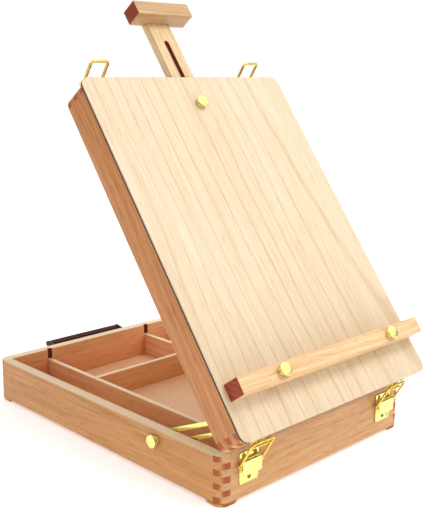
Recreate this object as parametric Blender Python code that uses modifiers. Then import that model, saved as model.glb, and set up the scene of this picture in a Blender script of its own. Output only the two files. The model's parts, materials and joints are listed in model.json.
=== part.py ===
import math

import bmesh
import bpy
from mathutils import Matrix, Vector

# All sizes below are millimetres. X runs along the front wall, Y to the back, Z up; Z = 0 is under the feet.
MM = 0.001
GAP = 0.3

# The tray, and the lid frame that closes on it.
HALF_X = 147.5
HALF_Y = 200.5
WALL = 12.0
CORNER_RADIUS = 11.5
TRAY_LOW, TRAY_HIGH = 4.0, 53.0
LID_LOW, LID_HIGH = 53.5, 87.5
TRAY_FINGERS = 7
LID_FINGERS = 5
FLOOR_LOW, FLOOR_HIGH = 5.5, 9.5
FLOOR_IN_WALL = 4.0
FOOT_SIDE, FOOT_TAPER = 22.0, 0.86

# The dividers slide in grooves that are open at the top.
DIVIDER = 6.0
DIVIDER_HIGH = 39.5
DIVIDER_GROOVE = 4.0
LEFT_DIVIDER_X, RIGHT_DIVIDER_X = -79.0, 84.0
CROSS_DIVIDER_Y = 90.5
CROSS_GROOVE = 2.5

# The lid turns about a line just outside the front wall's top edge.
LID_AXIS = (0.0, -202.5, 55.5)
LID_TILT = 53.6

BOARD_LOW, BOARD_HIGH = 87.8, 92.3
BOARD_HALF_X, BOARD_HALF_Y = 149.5, 202.0
BOARD_RADIUS = 10.0

MAST_HALF = 16.8
MAST_LOW, MAST_HIGH = 77.3, 86.8
MAST_START, MAST_END = -52.5, 298.2
MAST_SLOT_HALF = 3.2
MAST_SLOT = (-30.5, 257.1)
MAST_KNOB_Y = 165.5
GUIDE_SIDE = 10.0
GUIDE_START, GUIDE_END = 60.0, 188.2

HOLDER_X = (-39.5, 42.5)
HOLDER_START, HOLDER_END = 280.5, 298.5
HOLDER_LOW, HOLDER_HIGH = 82.3, 104.3

LEDGE_X = (-143.5, 147.5)
LEDGE_Y = (-162.0, -144.0)
LEDGE_LOW, LEDGE_HIGH = 92.6, 113.6
LEDGE_KNOBS_X = (-86.0, 90.0)
LEDGE_KNOB_Y = -153.0

KNOB_RADIUS, KNOB_RIM, KNOB_HEIGHT = 7.0, 3.4, 7.4
BOLT_RADIUS = 2.4
BOLT_HOLE = 2.7

# The slotted stays, from the lid's side rails down to the clamp bolts in the tray's side walls.
STAY_PIVOT = (-180.5, 78.3)
STAY_ANGLE = -24.66
STAY_X = (133.5, 134.9)
STAY_END_RADII = (7.5, 9.0)
STAY_LENGTH = 117.5
STAY_SLOT = (30.0, 115.4)
STAY_SLOT_HALF = 3.5
SIDE_BOLT = (-104.5, 41.0)
SIDE_BOLT_RADIUS = 1.8

# A latch, seen from its own frame: X across, Y out of the wall, Z towards its keeper, Z = 0 at the seam.
LATCH_PIN = (3.4, -9.0)
LOOP_PIVOT = (3.6, -14.0)
LOOP_RADIUS = 1.25
LOOP_SPACE = 0.6
ROD_RADIUS = 1.0
FRONT_LATCH = {"x": (-111.0, 111.0), "half": 13.3, "low": -34.6, "loop": 32.0, "narrowing": 0.6,
               "lever": 0.0, "lean": -30.84}
BACK_LATCH = {"x": (-115.5, 115.5), "half": 8.9, "low": -33.6, "loop": 34.0, "narrowing": 0.0,
              "lever": 95.0, "lean": -160.0}

HANDLE_AXIS = (207.0, 45.0)
HANDLE_RISE = 9.0
HANDLE_REACH = 15.0


def shift(x, y, z):
    return Matrix.Translation((x * MM, y * MM, z * MM))


def turn(degrees, axis, point=(0, 0, 0)):
    """A turn about an axis through a point given in millimetres."""
    return shift(*point) @ Matrix.Rotation(math.radians(degrees), 4, axis) @ shift(*(-c for c in point))


HOME = Matrix.Identity(4)
LID_POSE = turn(LID_TILT, "X", LID_AXIS)

easel = bpy.data.collections.new("tabletop_easel")
tools = bpy.data.collections.new("cutters")


def clear_scene():
    for item in list(bpy.data.objects):
        bpy.data.objects.remove(item, do_unlink=True)
    bpy.context.scene.collection.children.link(easel)
    bpy.context.scene.collection.children.link(tools)


def add_object(name, shape, pose=HOME, helper=False):
    """Turns a bmesh in millimetres into an object in metres."""
    bmesh.ops.remove_doubles(shape, verts=shape.verts, dist=1e-5)
    bmesh.ops.recalc_face_normals(shape, faces=shape.faces)
    bmesh.ops.scale(shape, vec=(MM, MM, MM), verts=shape.verts)
    mesh = bpy.data.meshes.new(name)
    shape.to_mesh(mesh)
    shape.free()
    item = bpy.data.objects.new(name, mesh)
    (tools if helper else easel).objects.link(item)
    item.matrix_world = pose
    if helper:
        item.hide_render = True
        item.display_type = "WIRE"
    return item


def add_prism(shape, outline, low, high, axis="Z", end_scale=1.0):
    """Adds a closed outline pushed from low to high along an axis; the low end may be drawn in."""
    places = {"X": (2, 0, 1), "Y": (1, 2, 0), "Z": (0, 1, 2)}[axis]
    middle = [sum(point[i] for point in outline) / len(outline) for i in (0, 1)]

    def ring(level, scale):
        corners = []
        for point in outline:
            flat = [middle[i] + (point[i] - middle[i]) * scale for i in (0, 1)]
            values = (flat[0], flat[1], level)
            corners.append(shape.verts.new([values[place] for place in places]))
        return corners

    bottom, top = ring(low, end_scale), ring(high, 1.0)
    shape.faces.new(bottom[::-1])
    shape.faces.new(top)
    count = len(outline)
    for i in range(count):
        shape.faces.new((bottom[i], bottom[(i + 1) % count], top[(i + 1) % count], top[i]))


def add_box(shape, low, high):
    corners = [(low[0], low[1]), (high[0], low[1]), (high[0], high[1]), (low[0], high[1])]
    add_prism(shape, corners, low[2], high[2])


def circle(centre, radius, count=24, start=0.0, sweep=360.0):
    """Points round a circle, or along an arc of it with both its ends."""
    steps = count if sweep >= 360 else count - 1
    angles = [math.radians(start + sweep * i / steps) for i in range(count)]
    return [(centre[0] + radius * math.cos(a), centre[1] + radius * math.sin(a)) for a in angles]


def rounded_rectangle(low, high, radius, count=6):
    centres = [(high[0] - radius, high[1] - radius), (low[0] + radius, high[1] - radius),
               (low[0] + radius, low[1] + radius), (high[0] - radius, low[1] + radius)]
    points = []
    for quarter, centre in enumerate(centres):
        points += circle(centre, radius, count, 90.0 * quarter, 90.0)
    return points


def box(name, low, high, pose=HOME, helper=False):
    shape = bmesh.new()
    add_box(shape, low, high)
    return add_object(name, shape, pose, helper)


def boxes(name, pairs, pose=HOME):
    """One hidden cutter made of boxes that stay clear of each other."""
    shape = bmesh.new()
    for low, high in pairs:
        add_box(shape, low, high)
    return add_object(name, shape, pose, helper=True)


def prism(name, outline, low, high, axis="Z", pose=HOME, helper=False, end_scale=1.0):
    shape = bmesh.new()
    add_prism(shape, outline, low, high, axis, end_scale)
    return add_object(name, shape, pose, helper)


def rods(name, centres, radius, low, high, axis="Z", pose=HOME):
    """One hidden cutter made of parallel round rods."""
    shape = bmesh.new()
    for centre in centres:
        add_prism(shape, circle(centre, radius, 16), low, high, axis)
    return add_object(name, shape, pose, helper=True)


def lathe(name, profile, pose=HOME, count=28):
    """A solid turned about Z from (radius, height) pairs; a ring if the profile stays off the axis."""
    shape = bmesh.new()
    hollow = min(radius for radius, _ in profile) > 0
    rings = []
    for radius, height in profile:
        if radius == 0:
            rings.append([shape.verts.new((0, 0, height))])
        else:
            rings.append([shape.verts.new((x, y, height)) for x, y in circle((0, 0), radius, count)])
    pairs = list(zip(rings, rings[1:] + rings[:1])) if hollow else list(zip(rings, rings[1:]))
    for first, second in pairs:
        for i in range(count):
            j = (i + 1) % count
            corners = [first[i % len(first)], first[j % len(first)], second[j % len(second)],
                       second[i % len(second)]]
            shape.faces.new(list(dict.fromkeys(corners)))
    item = add_object(name, shape, pose)
    smooth(item)
    return item


def smooth(item):
    for face in item.data.polygons:
        face.use_smooth = True


def change(item, tool, operation="DIFFERENCE"):
    modifier = item.modifiers.new(tool.name, "BOOLEAN")
    modifier.operation = operation
    modifier.solver = "EXACT"
    modifier.object = tool


def round_edges(item, width, segments=2):
    modifier = item.modifiers.new("Rounded edges", "BEVEL")
    modifier.width = width * MM
    modifier.segments = segments
    modifier.limit_method = "ANGLE"
    modifier.angle_limit = math.radians(40)


def material(name, colour, metallic=0.0, roughness=0.5):
    made = bpy.data.materials.new(name)
    made.use_nodes = True
    shader = made.node_tree.nodes["Principled BSDF"]
    shader.inputs["Base Color"].default_value = (*colour, 1.0)
    shader.inputs["Metallic"].default_value = metallic
    shader.inputs["Roughness"].default_value = roughness
    return made


def paint(items, kind):
    """Gives each object its own copy of one of the easel's materials."""
    colour, metallic, roughness = {
        "beech": ((0.72, 0.46, 0.26), 0.0, 0.5),
        "beech_ply": ((0.85, 0.66, 0.45), 0.0, 0.45),
        "brass": ((0.85, 0.66, 0.2), 1.0, 0.28),
        "steel": ((0.05, 0.05, 0.05), 1.0, 0.4),
        "leather": ((0.09, 0.03, 0.025), 0.0, 0.55),
    }[kind]
    for item in items:
        item.data.materials.append(material(f"{item.name}_{kind}", colour, metallic, roughness))


def make_ring_of_walls(names, low, high, fingers, pose=HOME):
    """Four walls whose ends interlock; the front and back ones own the top and bottom fingers."""
    pitch = (high - low) / fingers
    inner_x, inner_y = HALF_X - WALL, HALF_Y - WALL
    near = GAP / 2

    def finger_boxes(own, along):
        spans = []
        for i in range(fingers):
            if i % 2 == own:
                continue
            bottom = low + i * pitch - near - (2 if i == 0 else 0)
            top = low + (i + 1) * pitch + near + (2 if i == fingers - 1 else 0)
            for side in (-1, 1):
                if along == "X":
                    edges = sorted((side * (inner_x - near), side * (HALF_X + 5)))
                    spans.append(((edges[0], -HALF_Y - 5, bottom), (edges[1], HALF_Y + 5, top)))
                else:
                    edges = sorted((side * (inner_y + near), side * (HALF_Y + 5)))
                    spans.append(((-HALF_X - 5, edges[0], bottom), (HALF_X + 5, edges[1], top)))
        return spans

    front, back, left, right = names
    across = boxes(f"{front}_fingers", finger_boxes(0, "X"), pose)
    along = boxes(f"{left}_fingers", finger_boxes(1, "Y"), pose)
    walls = {}
    for name, sign in ((front, -1), (back, 1)):
        outline = circle((-HALF_X + CORNER_RADIUS, -HALF_Y + CORNER_RADIUS), CORNER_RADIUS, 8, 180, 90)
        outline += circle((HALF_X - CORNER_RADIUS, -HALF_Y + CORNER_RADIUS), CORNER_RADIUS, 8, 270, 90)
        outline += [(HALF_X, -inner_y - near), (-HALF_X, -inner_y - near)]
        outline = [(-sign * x, -sign * y) for x, y in outline]
        walls[name] = prism(name, outline, low, high, pose=pose)
        change(walls[name], across)
    for name, sign in ((left, -1), (right, 1)):
        outline = circle((-HALF_X + CORNER_RADIUS, HALF_Y - CORNER_RADIUS), CORNER_RADIUS, 8, 90, 90)
        outline += circle((-HALF_X + CORNER_RADIUS, -HALF_Y + CORNER_RADIUS), CORNER_RADIUS, 8, 180, 90)
        outline += [(-inner_x - near, -HALF_Y), (-inner_x - near, HALF_Y)]
        outline = [(-sign * x, -sign * y) for x, y in outline]
        walls[name] = prism(name, outline, low, high, pose=pose)
        change(walls[name], along)
    paint(walls.values(), "beech")
    return walls


def make_tray():
    names = ("front_wall", "back_wall", "left_wall", "right_wall")
    walls = make_ring_of_walls(names, TRAY_LOW, TRAY_HIGH, TRAY_FINGERS)
    inner_x, inner_y = HALF_X - WALL, HALF_Y - WALL
    floor_x, floor_y = inner_x + FLOOR_IN_WALL, inner_y + FLOOR_IN_WALL
    groove = box("floor_groove", (-floor_x - GAP, -floor_y - GAP, FLOOR_LOW - GAP),
                 (floor_x + GAP, floor_y + GAP, FLOOR_HIGH + GAP), helper=True)
    for wall in walls.values():
        change(wall, groove)
    reach = inner_y + DIVIDER_GROOVE
    half = DIVIDER / 2
    grooves = boxes("divider_grooves",
                    [((x - half - GAP, -reach, FLOOR_HIGH - 1), (x + half + GAP, reach, TRAY_HIGH + 5))
                                        for x in (LEFT_DIVIDER_X, RIGHT_DIVIDER_X)])
    bolt_holes = rods("side_bolt_holes", [SIDE_BOLT], SIDE_BOLT_RADIUS + GAP, -HALF_X - 5, HALF_X + 5, "X")
    for name in ("front_wall", "back_wall"):
        change(walls[name], grooves)
    for name in ("left_wall", "right_wall"):
        change(walls[name], bolt_holes)

    floor = box("tray_floor", (-floor_x, -floor_y, FLOOR_LOW), (floor_x, floor_y, FLOOR_HIGH))
    feet = []
    for name, side_x, side_y in (("foot_front_left", -1, -1), ("foot_front_right", 1, -1),
                                 ("foot_back_left", -1, 1), ("foot_back_right", 1, 1)):
        outline = circle((HALF_X - CORNER_RADIUS, HALF_Y - CORNER_RADIUS), CORNER_RADIUS, 8, 0, 90)
        outline += [(HALF_X - FOOT_SIDE, HALF_Y), (HALF_X - FOOT_SIDE, HALF_Y - FOOT_SIDE),
                    (HALF_X, HALF_Y - FOOT_SIDE)]
        outline = [(side_x * x, side_y * y) for x, y in outline]
        feet.append(prism(name, outline, 0, TRAY_LOW - GAP, end_scale=FOOT_TAPER))
    paint(feet, "beech")
    paint([floor], "beech_ply")

    bottom = FLOOR_HIGH + GAP
    cross_groove = CROSS_DIVIDER_Y - half - GAP, CROSS_DIVIDER_Y + half + GAP
    across = (LEFT_DIVIDER_X + half - CROSS_GROOVE, RIGHT_DIVIDER_X - half + CROSS_GROOVE)
    cutter = box("cross_divider_groove", (across[0], cross_groove[0], 0),
                 (across[1], cross_groove[1], TRAY_HIGH), helper=True)
    dividers = [box("divider_cross", (across[0] + GAP, CROSS_DIVIDER_Y - half, bottom),
                    (across[1] - GAP, CROSS_DIVIDER_Y + half, DIVIDER_HIGH))]
    for name, x in (("divider_left", LEFT_DIVIDER_X), ("divider_right", RIGHT_DIVIDER_X)):
        divider = box(name, (x - half, -reach + GAP, bottom), (x + half, reach - GAP, DIVIDER_HIGH))
        change(divider, cutter)
        dividers.append(divider)
    paint(dividers, "beech")


def make_handle():
    axis_y, axis_z = HANDLE_AXIS
    pose = turn(HANDLE_RISE, "X", (0, axis_y, axis_z))
    arms, brackets = [], []
    for side, word in ((-1, "left"), (1, "right")):
        inner, outer = sorted((side * 56.0, side * 60.0))
        outline = circle((axis_y, axis_z), 3.6, 9, 90, 180)
        outline += circle((axis_y + HANDLE_REACH + 1.8, axis_z), 3.6, 9, -90, 180)
        arm = prism(f"handle_arm_{word}", outline, inner, outer, "X", pose)
        change(arm, rods(f"handle_arm_{word}_hole", [HANDLE_AXIS], 2.3, inner - 3, outer + 3, "X", pose))
        arms.append(arm)

        edges = sorted((side * 60.6, side * 72.0))
        bracket = box(f"handle_bracket_{word}", (edges[0], HALF_Y + GAP, 38.0),
                      (edges[1], HALF_Y + 1.8, 52.0))
        ear = sorted((side * 60.6, side * 63.6))
        change(bracket, prism(f"handle_ear_{word}",
                              [(HALF_Y + 1, 40.5), (axis_y, 40.5), (axis_y + 3.5, 43), (axis_y + 3.5, 47),
                                                     (axis_y, 49.5), (HALF_Y + 1, 49.5)], ear[0], ear[1],
                              "X", helper=True), "UNION")
        pin = sorted((side * 55.6, side * 62.0))
        change(bracket, prism(f"handle_pin_{word}", circle(HANDLE_AXIS, 2.0, 16), pin[0], pin[1], "X",
                              helper=True), "UNION")
        brackets.append(bracket)
    middle = axis_y + HANDLE_REACH
    grip = box("handle_grip", (-55.7, middle - 5.2, axis_z - 2.9), (55.7, middle + 5.2, axis_z + 2.9), pose)
    round_edges(grip, 2.2, 3)
    smooth(grip)
    paint(arms + brackets, "steel")
    paint([grip], "leather")


def make_lid():
    names = ("lid_front_rail", "lid_back_rail", "lid_left_rail", "lid_right_rail")
    rails = make_ring_of_walls(names, LID_LOW, LID_HIGH, LID_FINGERS, LID_POSE)
    room = MAST_HALF + 0.45
    change(rails["lid_back_rail"],
           box("mast_notch", (-room, HALF_Y - WALL - 5, MAST_LOW - GAP), (room, HALF_Y + 5, LID_HIGH + 5),
                                       LID_POSE, helper=True))
    pivot_holes = rods("stay_screw_holes", [STAY_PIVOT], BOLT_HOLE - 0.2, -142, 142, "X", LID_POSE)
    change(rails["lid_left_rail"], pivot_holes)
    change(rails["lid_right_rail"], pivot_holes)

    bolts = [(0, MAST_KNOB_Y)] + [(x, LEDGE_KNOB_Y) for x in LEDGE_KNOBS_X]
    bolt_holes = rods("knob_bolt_holes", bolts, BOLT_HOLE, BOARD_LOW - 5, LEDGE_HIGH + 5, pose=LID_POSE)
    board = prism("drawing_board",
                  rounded_rectangle((-BOARD_HALF_X, -BOARD_HALF_Y), (BOARD_HALF_X, BOARD_HALF_Y),
                                    BOARD_RADIUS),
                  BOARD_LOW, BOARD_HIGH, pose=LID_POSE)
    ledge = box("ledge", (LEDGE_X[0], LEDGE_Y[0], LEDGE_LOW), (LEDGE_X[1], LEDGE_Y[1], LEDGE_HIGH),
                LID_POSE)
    for item in (board, ledge):
        round_edges(item, 0.6)
        change(item, bolt_holes)

    guides = []
    for side, word in ((-1, "left"), (1, "right")):
        edges = sorted((side * room, side * (room + GUIDE_SIDE)))
        guides.append(box(f"mast_guide_{word}", (edges[0], GUIDE_START, MAST_LOW + 1),
                          (edges[1], GUIDE_END, LID_HIGH), LID_POSE))
    paint([board], "beech_ply")
    paint([ledge] + guides, "beech")


def make_mast():
    mast = box("mast", (-MAST_HALF, MAST_START, MAST_LOW), (MAST_HALF, MAST_END, MAST_HIGH), LID_POSE)
    round_edges(mast, 0.6)
    slot = circle((0, MAST_SLOT[1] - MAST_SLOT_HALF), MAST_SLOT_HALF, 9, 0, 180)
    slot += circle((0, MAST_SLOT[0] + MAST_SLOT_HALF), MAST_SLOT_HALF, 9, 180, 180)
    change(mast, prism("mast_slot", slot, MAST_LOW - 5, MAST_HIGH + 5, pose=LID_POSE, helper=True))
    holder = box("canvas_holder", (HOLDER_X[0], HOLDER_START, HOLDER_LOW),
                 (HOLDER_X[1], HOLDER_END, HOLDER_HIGH), LID_POSE)
    round_edges(holder, 0.6)
    change(holder, box("holder_notch", (-MAST_HALF - GAP, HOLDER_START - 5, HOLDER_LOW - 5),
                       (MAST_HALF + GAP, HOLDER_END + 5, MAST_HIGH + GAP), LID_POSE, helper=True))
    paint([mast, holder], "beech")


def knob(name, depth, bolt_radius, pose):
    """A domed brass knob standing on Z = 0, with its bolt reaching down to -depth."""
    dome = circle((0, 0), 1.0, 7, 0, 90)
    profile = [(0, -depth), (bolt_radius - 0.3, -depth), (bolt_radius, -depth + 0.4), (bolt_radius, 0),
               (KNOB_RADIUS - 0.4, 0),
               (KNOB_RADIUS, 0.4), (KNOB_RADIUS, KNOB_RIM)]
    profile += [((KNOB_RADIUS - 0.6) * x, KNOB_RIM + 0.4 + (KNOB_HEIGHT - KNOB_RIM - 0.4) * z) for x,
                z in dome[:-1]]
    profile.append((0, KNOB_HEIGHT))
    item = lathe(name, profile, pose)
    paint([item], "brass")
    return item


def nut(name, radius, low, high, hole, pose):
    shape = bmesh.new()
    add_prism(shape, circle((0, 0), radius, 6), low, high)
    item = add_object(name, shape, pose)
    change(item, rods(f"{name}_thread", [(0, 0)], hole, low - 3, high + 3, pose=pose))
    paint([item], "brass")
    return item


def make_clamps():
    """The brass knobs with their bolts, nuts and washer."""
    at_mast = LID_POSE @ shift(0, MAST_KNOB_Y, BOARD_HIGH + GAP)
    below = MAST_LOW - GAP - BOARD_HIGH - GAP
    knob("mast_knob", -below + 6.5, BOLT_RADIUS, at_mast)
    washer = lathe("mast_washer",
                   [(BOLT_HOLE, below - 1.2), (10, below - 1.2), (10, below), (BOLT_HOLE, below)], at_mast)
    paint([washer], "brass")
    nut("mast_nut", 6.5, below - 5.8, below - 1.5, BOLT_HOLE, at_mast)

    for word, x in zip(("left", "right"), LEDGE_KNOBS_X):
        knob(f"ledge_knob_{word}", LEDGE_HIGH - BOARD_LOW + 6.0, BOLT_RADIUS,
             LID_POSE @ shift(x, LEDGE_KNOB_Y, LEDGE_HIGH + GAP))
        tee = lathe(f"ledge_nut_{word}",
                    [(BOLT_HOLE, -9), (4.2, -9), (4.2, -1.3), (8, -1.3), (8, 0), (BOLT_HOLE, 0)],
                    LID_POSE @ shift(x, LEDGE_KNOB_Y, BOARD_LOW - GAP))
        paint([tee], "brass")

    for side, word in ((-1, "left"), (1, "right")):
        outward = shift(side * (HALF_X + GAP), *SIDE_BOLT) @ Matrix.Rotation(math.radians(side * 90), 4,
                                                                             "Y")
        knob(f"side_knob_{word}", HALF_X + GAP - 128.6, SIDE_BOLT_RADIUS, outward)
        nut(f"side_nut_{word}", 5.5, 129.6 - HALF_X - GAP, STAY_X[0] - GAP - HALF_X - GAP,
            SIDE_BOLT_RADIUS + GAP, outward)


def make_stays():
    pivot = LID_POSE @ Vector((0, STAY_PIVOT[0] * MM, STAY_PIVOT[1] * MM))
    for side, word in ((-1, "left"), (1, "right")):
        pose = Matrix.Translation(pivot) @ Matrix.Rotation(math.radians(STAY_ANGLE), 4, "X")
        low, high = sorted((side * STAY_X[0], side * STAY_X[1]))
        outline = circle((0, 0), STAY_END_RADII[0], 11, 90, 180) + circle((STAY_LENGTH, 0),
                                                                          STAY_END_RADII[1], 11, -90, 180)
        stay = prism(f"stay_{word}", outline, low, high, "X", pose)
        slot = circle((STAY_SLOT[0], 0), STAY_SLOT_HALF, 9, 90, 180) + circle((STAY_SLOT[1], 0),
                                                                              STAY_SLOT_HALF, 9, -90, 180)
        change(stay, prism(f"stay_slot_{word}", slot, low - 3, high + 3, "X", pose, helper=True))
        change(stay, rods(f"stay_hole_{word}", [(0, 0)], BOLT_HOLE - 0.2, low - 3, high + 3, "X", pose))
        head = STAY_X[0] - GAP
        screw = lathe(f"stay_screw_{word}",
                      [(0, -7.5), (2.1, -6.0), (2.1, 0), (4.5, 0), (4.5, 0.6), (3.4, 1.7), (0, 2.1)],
                      LID_POSE @ shift(side * head,
                                       *STAY_PIVOT) @ Matrix.Rotation(math.radians(-side * 90), 4, "Y"), 20)
        paint([stay, screw], "brass")


def wire(name, points, radius, pose):
    """A round wire through the points, with its bends rounded."""
    path = bpy.data.curves.new(name, "CURVE")
    path.dimensions = "3D"
    path.bevel_depth = radius * MM
    path.bevel_resolution = 2
    path.use_fill_caps = True
    bend = 3.0
    places = [Vector(points[0])]
    for before, corner, after in zip(points, points[1:], points[2:]):
        before, corner, after = Vector(before), Vector(corner), Vector(after)
        start = corner + (before - corner).normalized() * bend
        end = corner + (after - corner).normalized() * bend
        places += [start.lerp(corner, t).lerp(corner.lerp(end, t), t) for t in (0, 0.25, 0.5, 0.75, 1)]
    places.append(Vector(points[-1]))
    line = path.splines.new("POLY")
    line.points.add(len(places) - 1)
    for point, place in zip(line.points, places):
        point.co = (*(place * MM), 1)
    guide = bpy.data.objects.new(f"{name}_path", path)
    tools.objects.link(guide)
    guide.hide_render = True
    mesh = bpy.data.meshes.new_from_object(guide)
    mesh.name = name
    shape = bmesh.new()
    shape.from_mesh(mesh)
    bmesh.ops.remove_doubles(shape, verts=shape.verts, dist=1e-7)
    bmesh.ops.recalc_face_normals(shape, faces=shape.faces)
    shape.to_mesh(mesh)
    shape.free()
    item = bpy.data.objects.new(name, mesh)
    easel.objects.link(item)
    item.matrix_world = pose
    smooth(item)
    return item


def make_latch(word, frame, size, with_rod):
    """The plate, lever and loop of one toggle latch; its keeper is made apart, on the other half.

    The loop turns on a rod through the lever, or on its own ends bent in through the lever's holes.
    """
    half, low = size["half"], size["low"]
    pin_y, pin_z = LATCH_PIN
    flat = Matrix.Rotation(math.radians(90), 4, "X")
    outline = [(half, -2), (half, low + 4), (half - 1, low), (1 - half, low), (-half, low + 4), (-half, -2)]
    plate = prism(f"latch_plate_{word}", outline, -1.3, -GAP, "Z", frame @ flat)
    ears = bmesh.new()
    for side in (-1, 1):
        edges = sorted((side * (half - 2.9), side * (half - 1.9)))
        outline = [(0.8, pin_z - 2.4)] + circle(LATCH_PIN, 1.6, 9, -90, 180) + [(0.8, pin_z + 2.4)]
        add_prism(ears, outline, edges[0], edges[1], "X")
    change(plate, add_object(f"latch_ears_{word}", ears, frame, helper=True), "UNION")
    pin = prism(f"latch_pin_{word}", circle(LATCH_PIN, 1.0, 12), 0.1 - half, half - 0.1, "X", frame,
                helper=True)
    change(plate, pin, "UNION")

    lever_frame = frame @ turn(size["lever"], "X", (0, pin_y, pin_z))
    outline = [(-half, -9.6), (-half, -23), (1.2 - half, -24.2), (half - 1.2, -24.2), (half, -23),
               (half, -9.6)]
    lever = prism(f"latch_lever_{word}", outline, -6.2, -5.2, "Z", lever_frame @ flat)
    flanges = bmesh.new()
    for side in (-1, 1):
        edges = sorted((side * (half - 1), side * half))
        outline = circle(LATCH_PIN, 1.95, 9, 0, 180) + [(1.6, -13.2), (1.7, -15.2), (3.6, -17),
                                                        (5.7, -19), (5.7, -9.6)]
        add_prism(flanges, outline, edges[0], edges[1], "X")
    change(lever, add_object(f"latch_flanges_{word}", flanges, lever_frame, helper=True), "UNION")
    holes = bmesh.new()
    for centre, radius in ((LATCH_PIN, 1.3), (LOOP_PIVOT, 1.55)):
        add_prism(holes, circle(centre, radius, 12), -half - 2, half + 2, "X")
    change(lever, add_object(f"latch_holes_{word}", holes, lever_frame, helper=True))

    pivot_y, pivot_z = LOOP_PIVOT
    pivot = frame @ Matrix.Translation(frame.inverted() @ (lever_frame @ Vector((0, pivot_y * MM,
                                                                                 pivot_z * MM))))
    loop_frame = pivot @ Matrix.Rotation(math.radians(size["lean"]), 4, "X")
    low_half = half + LOOP_SPACE + LOOP_RADIUS
    top_half = low_half - size["narrowing"]
    bends = [(low_half, 0, 0), (top_half, 0, size["loop"]), (-top_half, 0, size["loop"]), (-low_half, 0, 0)]
    if not with_rod:
        bends = [(half - 1.4, 0, 0)] + bends + [(1.4 - half, 0, 0)]
    loop = wire(f"latch_loop_{word}", bends, LOOP_RADIUS, loop_frame)
    if with_rod:
        for side, way in ((-1, "a"), (1, "b")):
            edges = sorted((side * (low_half - 1.1), side * (low_half + 1.1)))
            eye = prism(f"latch_eye_{word}_{way}", circle((0, 0), 2.2, 16), edges[0], edges[1], "X",
                        loop_frame, helper=True)
            change(loop, eye, "UNION")
        end = low_half + 2.0
        head = end - 0.6
        change(loop, rods(f"latch_bore_{word}", [(0, 0)], ROD_RADIUS + 0.3, -end, end, "X", loop_frame))
        profile = [(0, -end), (1.5, -end), (1.5, -head), (ROD_RADIUS, -head), (ROD_RADIUS, head),
                   (1.5, head), (1.5, end), (0, end)]
        rod = lathe(f"latch_rod_{word}", profile, pivot @ Matrix.Rotation(math.radians(90), 4, "Y"), 16)
        paint([rod], "brass")
    paint([plate, lever, loop], "brass")


def make_keeper(word, frame, half):
    profile = [(GAP, 31), (GAP, 15.4), (7.1, 15.4), (7.1, 18.6), (6.1, 18.6), (6.1, 16.4), (1.3, 16.4),
               (1.3, 31)]
    keeper = prism(f"latch_keeper_{word}", profile, -half, half, "X", frame)
    paint([keeper], "brass")


def make_latches():
    half_turn_z = Matrix.Rotation(math.pi, 4, "Z")
    half_turn_y = Matrix.Rotation(math.pi, 4, "Y")
    for word, front_x, back_x in zip(("left", "right"), FRONT_LATCH["x"], BACK_LATCH["x"]):
        at_front = shift(front_x, -HALF_Y, TRAY_HIGH) @ half_turn_z
        make_latch(f"front_{word}", at_front, FRONT_LATCH, True)
        make_keeper(f"front_{word}", LID_POSE @ at_front, FRONT_LATCH["half"] - 2.2)
        at_back = shift(back_x, HALF_Y, LID_LOW) @ half_turn_y
        make_latch(f"back_{word}", LID_POSE @ at_back, BACK_LATCH, False)
        make_keeper(f"back_{word}", at_back, BACK_LATCH["half"] - 2.2)


def add_axis(name, place, pose, nodes, parent=None):
    """An empty on a joint's axis, with the pieces that move about it as its children."""
    empty = bpy.data.objects.new(f"axis_{name}", None)
    easel.objects.link(empty)
    empty.empty_display_size = 0.02
    bpy.context.view_layer.update()
    empty.matrix_world = pose @ shift(*place)
    bpy.context.view_layer.update()
    if parent is not None:
        hold(empty, parent)
    for node in nodes:
        hold(bpy.data.objects[node], empty)
    return empty


def hold(item, parent):
    place = item.matrix_world.copy()
    item.parent = parent
    item.matrix_parent_inverse = parent.matrix_world.inverted()
    item.matrix_world = place


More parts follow.
